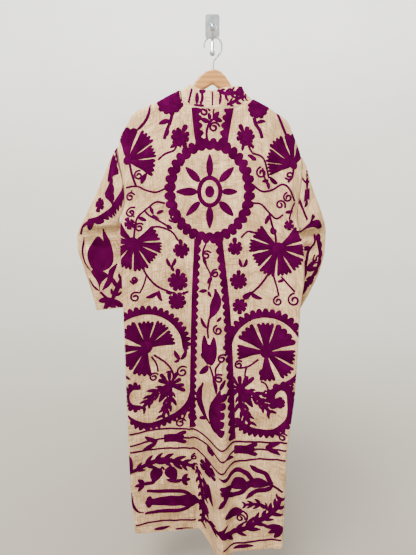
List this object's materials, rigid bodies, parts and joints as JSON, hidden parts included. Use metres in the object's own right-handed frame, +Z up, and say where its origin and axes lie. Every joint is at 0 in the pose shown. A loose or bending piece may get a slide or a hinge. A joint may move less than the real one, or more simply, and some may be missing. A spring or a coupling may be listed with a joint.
{
  "type": "embroidered cotton robe on a wooden hanger and a wall hook",
  "caption": "Long open-front robe with wide sleeves and a neck band, hung from a wooden hanger on a wall hook, its embroidered back facing the room.",
  "frame": {"origin": "centre of the hook plate's back face, on the wall", "axes": "+Z up, +Y into the wall, -Y towards the room, +X to the right as seen from the room"},
  "size_m": [0.6899, 0.1469, 1.503],
  "materials": {
    "cotton": "matt slubby cotton",
    "wood": "satin varnish",
    "chrome": "polished"
  },
  "bodies": {
    "root": {"body_back": "cotton", "body_front_left": "cotton", "body_front_right": "cotton", "sleeve_left": "cotton", "sleeve_right": "cotton", "neck_band": "cotton", "front_band_left": "cotton", "front_band_right": "cotton", "hanger_wood": "wood", "hanger_hook": "chrome", "hook_plate": "chrome", "hook_prong_upper": "chrome", "hook_prong_lower": "chrome"}
  },
  "joints": []
}
